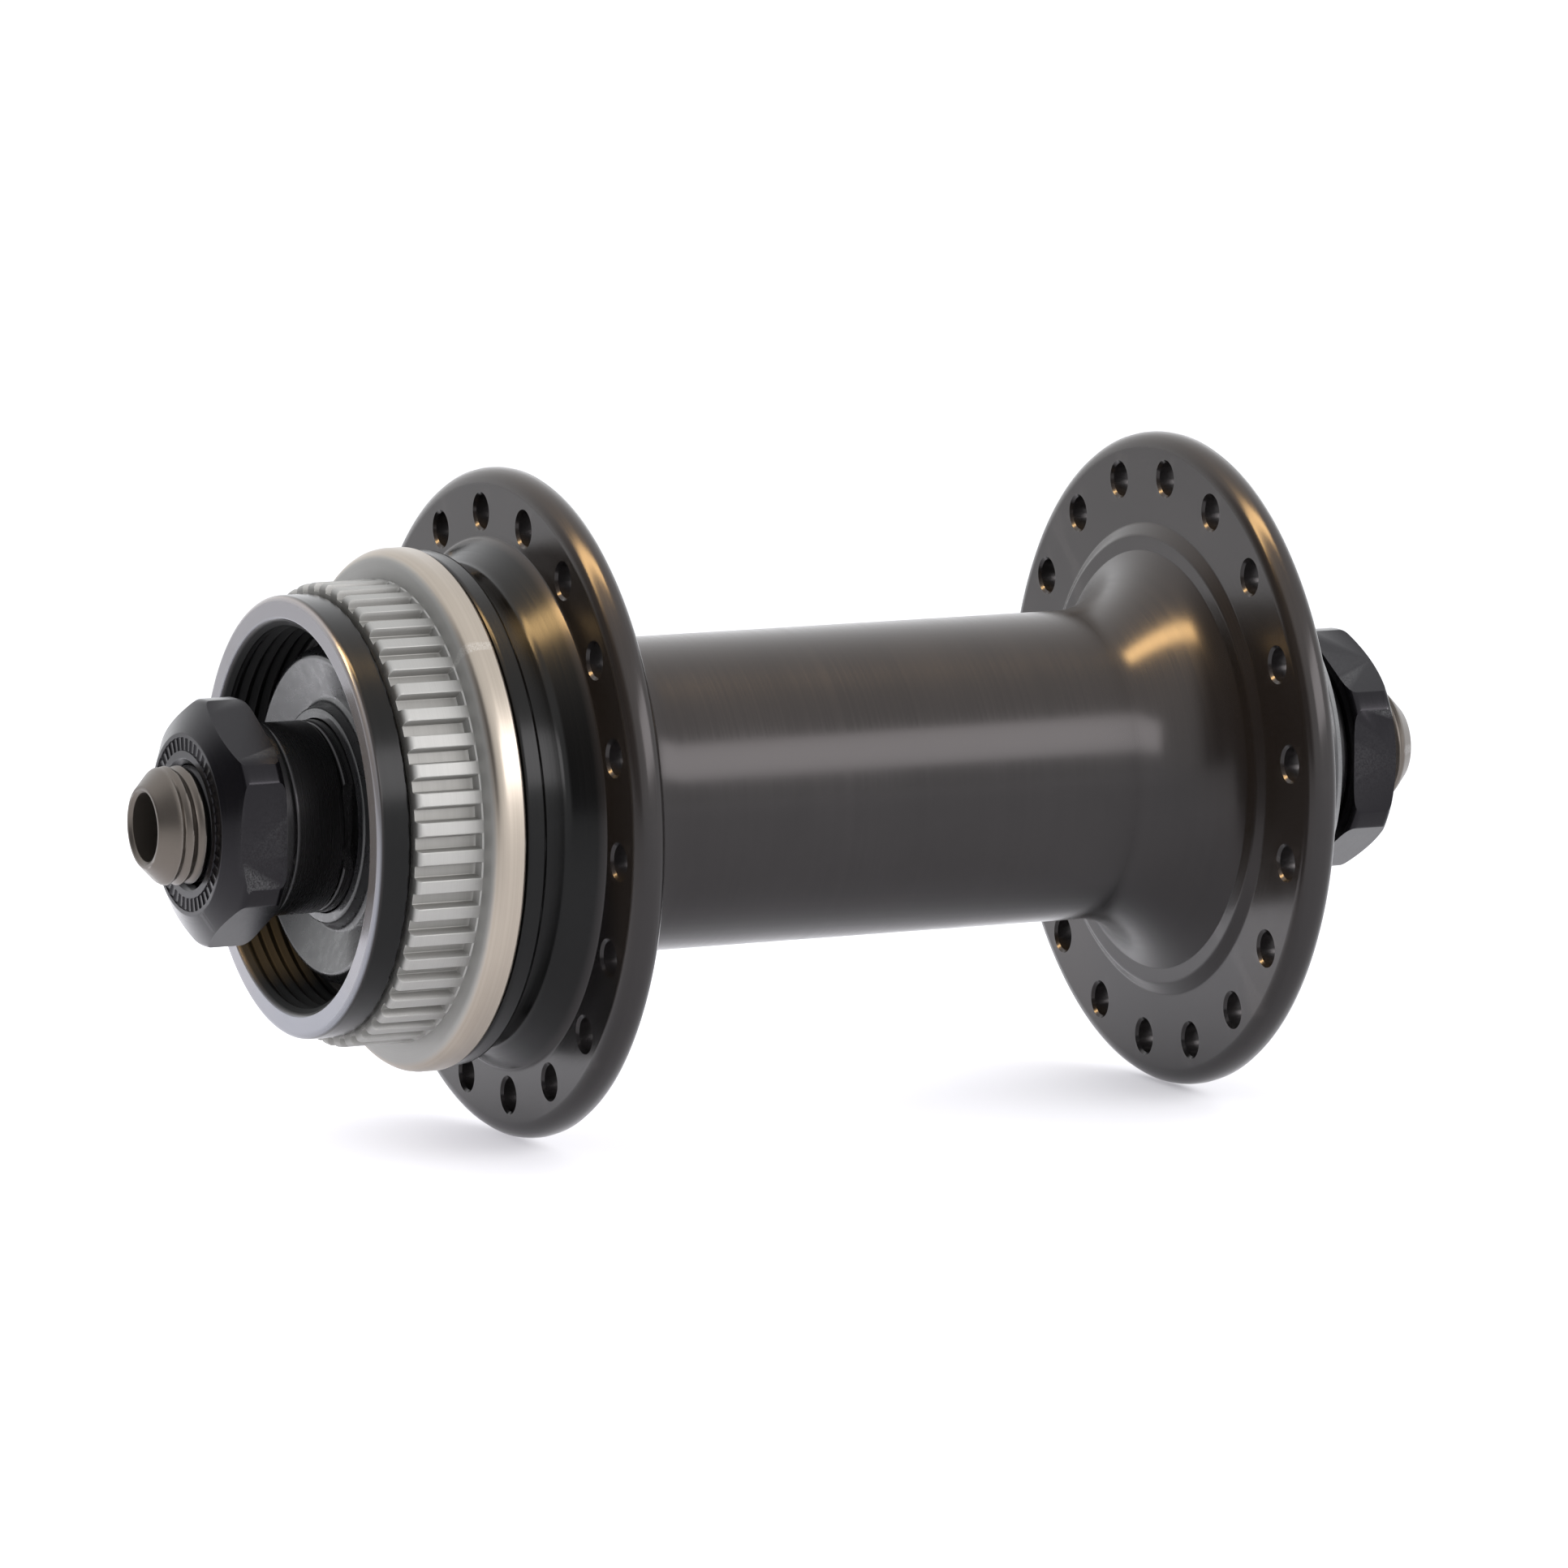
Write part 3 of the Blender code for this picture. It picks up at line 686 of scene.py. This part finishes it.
def build_cup(side, sign, ball_reach):
    radius = cad_size("bearing_cup_" + side)[2]
    race = BALL_RADIUS + RACE_GAP
    back, lip = ball_reach - CUP_DEPTH, ball_reach + CUP_LIP
    corners = [
        (radius, lip, 0.2),
        (radius, back, 0.5),
        (CUP_HOLE_RADIUS, back, 0.2),
        (CUP_HOLE_RADIUS, back + CUP_FLOOR, 0),
        *arc((PITCH_RADIUS, ball_reach), race, 236, 360),
        (PITCH_RADIUS + race + 0.1, lip, 0.1),
    ]
    cup = lathe("bearing_cup_%s_visual" % side, rounded(corners), side=sign)
    dress(cup, "bearing_cup_" + side, "shell", "bearing_steel")


def build_dust_cap(side, sign):
    """A pressed cup behind the seal, with a rolled edge."""
    low, high, radius = cad_size("dust_cap_" + side)
    back, front = sorted((abs(low), abs(high)))
    radius += DUST_CAP_GROWTH
    inside = radius - DUST_CAP_WALL
    hole = CONE_RADIUS + DUST_CAP_HOLE
    corners = [
        (radius, front, 0.4),
        (radius, back, 0.1),
        (inside, back, 0.1),
        (inside, front - 0.9, 0.5),
        (hole, front - 0.8, 0.2),
        (hole, front, 0.2),
    ]
    cap = lathe("dust_cap_%s_visual" % side, rounded(corners), side=sign)
    dress(cap, "dust_cap_" + side, "shell", "dust_cap_black")


def build_seal(side, sign):
    """A moulded ring on the cone: a short sleeve, and a dished disc that almost meets the collar."""
    low, high, radius = cad_size("cone_seal_" + side)
    back, front = sorted((abs(low), abs(high)))
    corners = [
        (CONE_RADIUS + SEAL_HUB, front, 0.3),
        (CONE_RADIUS + SEAL_DISH, front - SEAL_DISH_DEPTH, 0.5),
        (radius - SEAL_RIM, front - 0.05, 0.4),
        (radius, front - 0.9, 0.4),
        (radius, back + 0.5, 0.3),
        (radius - 0.6, back, 0.2),
        (CONE_RADIUS + 0.05, back, 0.1),
        (CONE_RADIUS + 0.05, front, 0.1),
    ]
    seal = lathe("cone_seal_%s_visual" % side, rounded(corners, 6), side=sign)
    dress(seal, "cone_seal_" + side, "axle_set", "seal_rubber")


def build_balls(side, body):
    for number in range(1, BALL_COUNT + 1):
        node = "ball_%s_%02d" % (side, number)
        low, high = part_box(node)
        shape = bmesh.new()
        place = Matrix.Translation((low + high) / 2)
        bmesh.ops.create_icosphere(shape, subdivisions=4, radius=BALL_RADIUS * MM, matrix=place)
        ball = new_object(node + "_visual", shape)
        dress(ball, node, body, "bearing_steel", 60)


def build_cage(side, sign, ball_reach, body):
    corners = [
        (CAGE_OUTER_RADIUS, ball_reach + CAGE_END, 0.25),
        (CAGE_OUTER_RADIUS, ball_reach + CAGE_START, 0.1),
        (CAGE_INNER_RADIUS, ball_reach + CAGE_START, 0.1),
        (CAGE_INNER_RADIUS, ball_reach + CAGE_END, 0.25),
    ]
    cage = lathe("ball_cage_%s_visual" % side, rounded(corners), side=sign)
    pockets = bmesh.new()
    for number in range(1, BALL_COUNT + 1):
        low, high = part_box("ball_%s_%02d" % (side, number))
        place = Matrix.Translation((low + high) / 2)
        bmesh.ops.create_icosphere(pockets, subdivisions=4, radius=(BALL_RADIUS + CAGE_GAP) * MM,
                                   matrix=place)
    boolean(cage, new_object("pockets", pockets), "DIFFERENCE")
    dress(cage, "ball_cage_" + side, body, "pressed_cage")


def build_sleeve():
    low, high, radius = cad_size("grease_sleeve")
    bore = radius - SLEEVE_WALL
    corners = [(radius, high, 0.15), (radius, low, 0.15), (bore, low, 0.15), (bore, high, 0.15)]
    sleeve = lathe("grease_sleeve_visual", rounded(corners))
    dress(sleeve, "grease_sleeve", "shell", "sleeve_plastic")


# ---------------------------------------------------------------- axle, cones, nuts

def build_axle():
    profile = []
    for end in (1, -1):
        outside = [(AXLE_RADIUS - AXLE_CHAMFER, end * AXLE_REACH, 0.2),
                   (AXLE_RADIUS, end * (AXLE_REACH - AXLE_CHAMFER), 0.8)]
        profile += outside[::end]
    for end in (-1, 1):
        inside = [(AXLE_BORE_RADIUS + AXLE_BORE_CHAMFER, end * AXLE_REACH, 0.1),
                  (AXLE_BORE_RADIUS, end * (AXLE_REACH - AXLE_BORE_CHAMFER), 0.1)]
        profile += inside[::-end]
    points = rounded(profile)
    plain = AXLE_REACH - AXLE_THREAD_LENGTH
    for low, high in ((-AXLE_REACH, -plain), (plain, AXLE_REACH)):
        points = split_run(points, AXLE_RADIUS, low, high, 0.1)
    thread_end = AXLE_REACH - AXLE_CHAMFER + 0.2
    right = thread(plain, thread_end, AXLE_RADIUS, AXLE_THREAD_DEPTH, False)
    left = thread(-thread_end, -plain, AXLE_RADIUS, AXLE_THREAD_DEPTH, False)

    def change(radius, reach, angle):
        return right(radius, reach, angle) if reach > 0 else left(radius, reach, angle)

    axle = lathe("axle_visual", points, even_angles(96), change=change)
    dress(axle, "axle", "axle_set", "dark_steel", 40)


def build_locknut(side, sign):
    """A hexagon nut with a bevelled outer end and a finely serrated ring that grips the fork."""
    inner = LOCKNUT_REACH - LOCKNUT_WIDTH
    low, high = SERRATED_RING
    corners = [
        (LOCKNUT_FACE_RADIUS, LOCKNUT_REACH, 0.3),
        (LOCKNUT_CORNER_RADIUS, LOCKNUT_REACH - LOCKNUT_BEVEL, 0.5),
        (LOCKNUT_CORNER_RADIUS, inner - 0.1, 0.6),
        (THREADED_HOLE, inner - 0.1, 0.05),
        (THREADED_HOLE, LOCKNUT_REACH - LOCKNUT_MOUTH, 0.05),
        (THREADED_HOLE + LOCKNUT_MOUTH, LOCKNUT_REACH, 0.05),
        (low - 0.04, LOCKNUT_REACH, 0),
        (low, LOCKNUT_REACH, 0),
        (high, LOCKNUT_REACH, 0),
        (high + 0.04, LOCKNUT_REACH, 0),
    ]

    def change(radius, reach, angle):
        if reach < LOCKNUT_REACH - 0.01 or not low - 0.01 < radius < high + 0.01:
            return radius, reach
        turn = angle * SERRATIONS / (2 * math.pi) % 1.0
        return radius, reach - SERRATION_DEPTH * min(1.0, 2 * (1 - abs(2 * turn - 1)))

    nut = lathe("locknut_%s_visual" % side, rounded(corners), even_angles(SERRATIONS * 6), sign, change)
    hexagon = bmesh.new()
    middle = sign * (LOCKNUT_REACH - LOCKNUT_WIDTH / 2) * MM
    place = Matrix.Translation((0, middle, 0)) @ Matrix.Rotation(math.radians(90), 4, "X")
    corner = LOCKNUT_ACROSS_FLATS / math.sqrt(3) * MM
    bmesh.ops.create_cone(hexagon, cap_ends=True, segments=6, radius1=corner, radius2=corner,
                          depth=(LOCKNUT_WIDTH + 3) * MM, matrix=place)
    upright = [edge for edge in hexagon.edges if abs(edge.verts[0].co.y - edge.verts[1].co.y) > MM]
    bmesh.ops.bevel(hexagon, geom=upright, offset=LOCKNUT_EDGE * MM, segments=3, profile=0.5,
                    affect="EDGES")
    boolean(nut, new_object("hexagon", hexagon), "INTERSECT")
    dress(nut, "locknut_" + side, "axle_set", "black_nut", 26)


def build_cone(side, sign, ball_reach):
    low, high = cad_size("cone_" + side)[:2]
    end = max(abs(low), abs(high)) + 0.1
    back = ball_reach - CONE_DEPTH
    race = arc((PITCH_RADIUS, ball_reach), BALL_RADIUS + RACE_GAP, 115, 180)
    corners = [
        (CONE_RADIUS, end, 0.3),
        (CONE_RADIUS, ball_reach + CONE_SHOULDER + 0.5, 0.2),
        (race[0][0], ball_reach + CONE_SHOULDER, 0.2),
        *race,
        (CONE_BACK_RADIUS + 0.5, back + 0.6, 0),
        (CONE_BACK_RADIUS, back, 0.2),
        (THREADED_HOLE, back, 0.1),
        (THREADED_HOLE, end, 0.2),
    ]
    cone = lathe("cone_%s_visual" % side, rounded(corners), side=sign)
    flats = bmesh.new()
    for direction in (-1, 1):
        offset = direction * (CONE_FLATS / 2 + 2)
        place = Matrix.Translation(Vector((offset, sign * end, 0)) * MM)
        place = place @ Matrix.Diagonal((4 * MM, 2 * CONE_FLAT_LENGTH * MM, 20 * MM, 1))
        bmesh.ops.create_cube(flats, size=1, matrix=place)
    boolean(cone, new_object("flats", flats), "DIFFERENCE")
    dress(cone, "cone_" + side, "axle_set", "dark_steel")


def build_collars(side, sign):
    """The lock washer and, on the left, the spacer behind it."""
    nodes = ["lock_washer_" + side] + (["spacer_left"] if side == "left" else [])
    for node in nodes:
        low, high, radius = cad_size(node)
        start, end = sorted((abs(low), abs(high)))
        start, end = start - 0.12, end + 0.12
        corners = [
            (radius, end, 0.25),
            (radius, start, 0.25),
            (THREADED_HOLE, start, 0.1),
            (THREADED_HOLE, end, 0.1),
        ]
        collar = lathe(node + "_visual", rounded(corners), side=sign)
        dress(collar, node, "axle_set", "dark_steel")


# ---------------------------------------------------------------- stage

PALE_BLUE = (0.97, 0.95, 1.0)
WARM_GOLD = (1.0, 0.64, 0.26)

# The studio is white all round but for a dark side, whose azimuth and elevation are these
DARK_SIDE = (0, -2)
WHITE_STUDIO = (0.97, 0.98, 1.0, 1)
DARK_STUDIO = (0.10, 0.10, 0.11, 1)
STUDIO_STRENGTH = 1.4

CAMERA_AZIMUTH = 64.0
CAMERA_ELEVATION = 8.0
CAMERA_DISTANCE = 0.879
CAMERA_LENS = 262


def build_stage():
    low = cad_low.z
    shape = bmesh.new()
    bmesh.ops.create_grid(shape, x_segments=1, y_segments=1, size=4.0,
                          matrix=Matrix.Translation((0, 0, low - 0.0002)))
    floor = new_object("floor", shape)
    graph = Graph("floor_pale")
    graph.put(graph.shader.inputs["Base Color"], (0.82, 0.82, 0.83, 1))
    graph.put(graph.shader.inputs["Roughness"], 0.7)
    floor.data.materials.append(graph.material)

    world = bpy.data.worlds.new("studio")
    bpy.context.scene.world = world
    world.use_nodes = True
    nodes, links = world.node_tree.nodes, world.node_tree.links
    coords = nodes.new("ShaderNodeTexCoord")
    towards_dark = nodes.new("ShaderNodeVectorMath")
    towards_dark.operation = "DOT_PRODUCT"
    towards_dark.inputs[1].default_value = direction_of(*DARK_SIDE)
    share = nodes.new("ShaderNodeMapRange")
    share.interpolation_type = "SMOOTHSTEP"
    share.inputs["From Min"].default_value = 0.55
    share.inputs["From Max"].default_value = 0.84
    tone = nodes.new("ShaderNodeMix")
    tone.data_type = "RGBA"
    tone.inputs[6].default_value = WHITE_STUDIO
    tone.inputs[7].default_value = DARK_STUDIO
    background = nodes["Background"]
    background.inputs["Strength"].default_value = STUDIO_STRENGTH
    links.new(coords.outputs["Generated"], towards_dark.inputs[0])
    links.new(towards_dark.outputs["Value"], share.inputs["Value"])
    links.new(share.outputs["Result"], tone.inputs[0])
    links.new(tone.outputs[2], background.inputs["Color"])
    bpy.context.scene.view_settings.view_transform = "Standard"


def direction_of(azimuth, elevation):
    """A direction from the hub: azimuth 0 is -Y and 90 is +X, both in degrees."""
    turn, rise = math.radians(azimuth), math.radians(elevation)
    return Vector((math.sin(turn) * math.cos(rise), -math.cos(turn) * math.cos(rise), math.sin(rise)))


def area_light(name, place, target, width, height, power, colour):
    """A rectangular light that shines from one place towards another, and isn't seen by the camera."""
    data = bpy.data.lights.new(name, "AREA")
    data.shape = "RECTANGLE"
    data.size = width
    data.size_y = height
    data.energy = power
    data.color = colour
    light = bpy.data.objects.new(name, data)
    light.location = place
    light.rotation_euler = (Vector(place) - Vector(target)).to_track_quat("Z", "Y").to_euler()
    light.visible_camera = False
    bpy.context.scene.collection.objects.link(light)
    return light


def light_only(light, piece):
    """Makes a light shine on one piece and nothing else."""
    lit = bpy.data.collections.new("lit_by_" + light.name)
    lit.objects.link(bpy.data.objects[piece])
    light.light_linking.receiver_collection = lit


def build_lights():
    """A soft box beside the barrel, a warm strip over the shell, and a weak glow on the floor."""
    area_light("band", direction_of(118, 26) * 1.2, (0, 0, 0), 1.2, 0.5, 8.0, (1.0, 0.98, 1.0))
    warm = area_light("warm_strip", direction_of(-15, 75), (0, 0, 0), 0.2, 1.25, 24.0, WARM_GOLD)
    light_only(warm, "hub_shell_visual")
    glow = area_light("floor_glow", (-0.12, -0.06, 0.3), (-0.09, -0.04, 0), 0.12, 0.12, 0.14, PALE_BLUE)
    glow.data.use_shadow = False
    glow.data.spread = math.radians(60)
    light_only(glow, "floor")


def build_camera():
    data = bpy.data.cameras.new("camera")
    data.sensor_width = 36
    data.lens = CAMERA_LENS
    data.clip_start = 0.05
    camera = bpy.data.objects.new("camera", data)
    camera.location = direction_of(CAMERA_AZIMUTH, CAMERA_ELEVATION) * CAMERA_DISTANCE
    camera.rotation_euler = camera.location.to_track_quat("Z", "Y").to_euler()
    bpy.context.scene.collection.objects.link(camera)
    bpy.context.scene.camera = camera


def main():
    build_shell()
    build_rotor_ring()
    build_sleeve()
    build_axle()
    bodies = frame["record"]["behaviour"]["bodies"]
    for side, sign in (("left", -1), ("right", 1)):
        cage_body = next(body for body, members in bodies.items() if "ball_cage_" + side in members)
        low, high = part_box("ball_%s_01" % side)
        ball_reach = abs(low.y + high.y) / 2 / MM
        build_cup(side, sign, ball_reach)
        build_dust_cap(side, sign)
        build_seal(side, sign)
        build_cage(side, sign, ball_reach, cage_body)
        build_balls(side, cage_body)
        build_cone(side, sign, ball_reach)
        build_collars(side, sign)
        build_locknut(side, sign)
    build_stage()
    build_lights()
    build_camera()


main()
